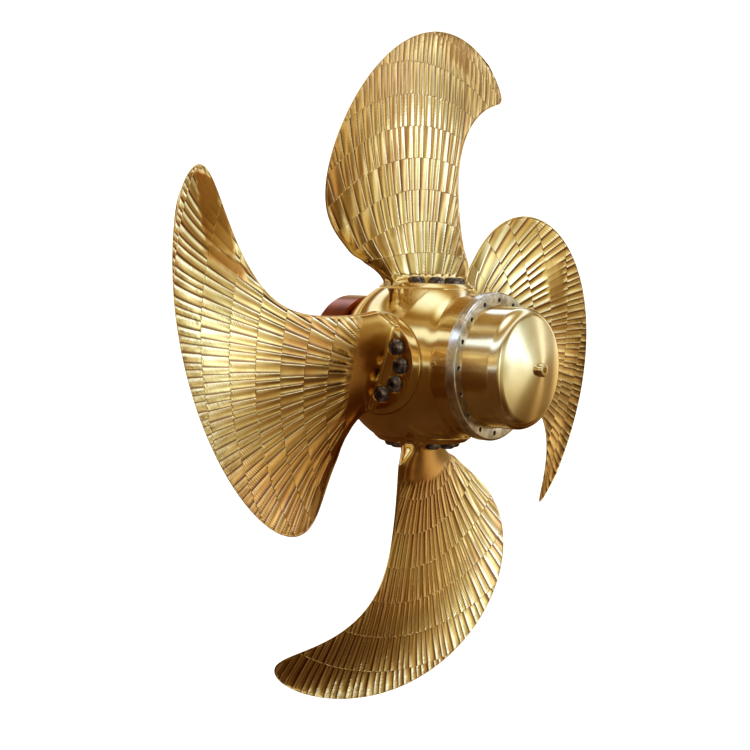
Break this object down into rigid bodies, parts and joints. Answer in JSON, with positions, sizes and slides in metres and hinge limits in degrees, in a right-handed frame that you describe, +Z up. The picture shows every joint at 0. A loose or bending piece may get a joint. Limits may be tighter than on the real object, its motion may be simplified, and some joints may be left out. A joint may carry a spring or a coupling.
{
  "type": "ship propeller",
  "caption": "Controllable-pitch ship propeller: wide skewed bronze blades bolted to turning discs in a hub, with a zinc ring and a cap.",
  "frame": {"origin": "centre of the flat forward face that the shaft's flange is bolted to", "axes": "+Y forward along the shaft, +Z up along the first blade's spindle, +X to starboard; the cap points along -Y"},
  "size_m": [2.4064, 0.8719, 2.4064],
  "materials": {
    "bronze": "machined and polished nickel-aluminium bronze",
    "zinc": "turned, dull grey zinc",
    "steel": "dark blackened steel"
  },
  "bodies": {
    "hub": {"hub_body": "bronze", "shaft_flange": "bronze", "anode_ring": "zinc", "hub_cap": "bronze", "cap_plug": "bronze"},
    "blade_top": {"blade_top": "bronze", "crank_disc_top": "steel", "blade_bolt_top_1": "steel", "blade_bolt_top_2": "steel", "blade_bolt_top_3": "steel", "blade_bolt_top_4": "steel", "blade_bolt_top_5": "steel", "blade_bolt_top_6": "steel", "blade_bolt_top_7": "steel", "blade_bolt_top_8": "steel"},
    "blade_port": {"blade_port": "bronze", "crank_disc_port": "steel", "blade_bolt_port_1": "steel", "blade_bolt_port_2": "steel", "blade_bolt_port_3": "steel", "blade_bolt_port_4": "steel", "blade_bolt_port_5": "steel", "blade_bolt_port_6": "steel", "blade_bolt_port_7": "steel", "blade_bolt_port_8": "steel"},
    "blade_bottom": {"blade_bottom": "bronze", "crank_disc_bottom": "steel", "blade_bolt_bottom_1": "steel", "blade_bolt_bottom_2": "steel", "blade_bolt_bottom_3": "steel", "blade_bolt_bottom_4": "steel", "blade_bolt_bottom_5": "steel", "blade_bolt_bottom_6": "steel", "blade_bolt_bottom_7": "steel", "blade_bolt_bottom_8": "steel"},
    "blade_starboard": {"blade_starboard": "bronze", "crank_disc_starboard": "steel", "blade_bolt_starboard_1": "steel", "blade_bolt_starboard_2": "steel", "blade_bolt_starboard_3": "steel", "blade_bolt_starboard_4": "steel", "blade_bolt_starboard_5": "steel", "blade_bolt_starboard_6": "steel", "blade_bolt_starboard_7": "steel", "blade_bolt_starboard_8": "steel"}
  },
  "joints": [
    {"name": "top_pitch", "type": "hinge", "parent": "hub", "child": "blade_top", "pos_m": [0, -0.3633, 0], "axis": [0, 0, -1], "range_deg": [-22, 28]},
    {"name": "port_pitch", "type": "hinge", "parent": "hub", "child": "blade_port", "pos_m": [0, -0.3633, 0], "axis": [1, 0, 0], "range_deg": [-22, 28]},
    {"name": "bottom_pitch", "type": "hinge", "parent": "hub", "child": "blade_bottom", "pos_m": [0, -0.3633, 0], "axis": [0, 0, 1], "range_deg": [-22, 28]},
    {"name": "starboard_pitch", "type": "hinge", "parent": "hub", "child": "blade_starboard", "pos_m": [0, -0.3633, 0], "axis": [-1, 0, 0], "range_deg": [-22, 28]}
  ],
  "couplings": [
    {"joint": "port_pitch", "follows": "top_pitch", "ratio": 1},
    {"joint": "bottom_pitch", "follows": "top_pitch", "ratio": 1},
    {"joint": "starboard_pitch", "follows": "top_pitch", "ratio": 1}
  ]
}
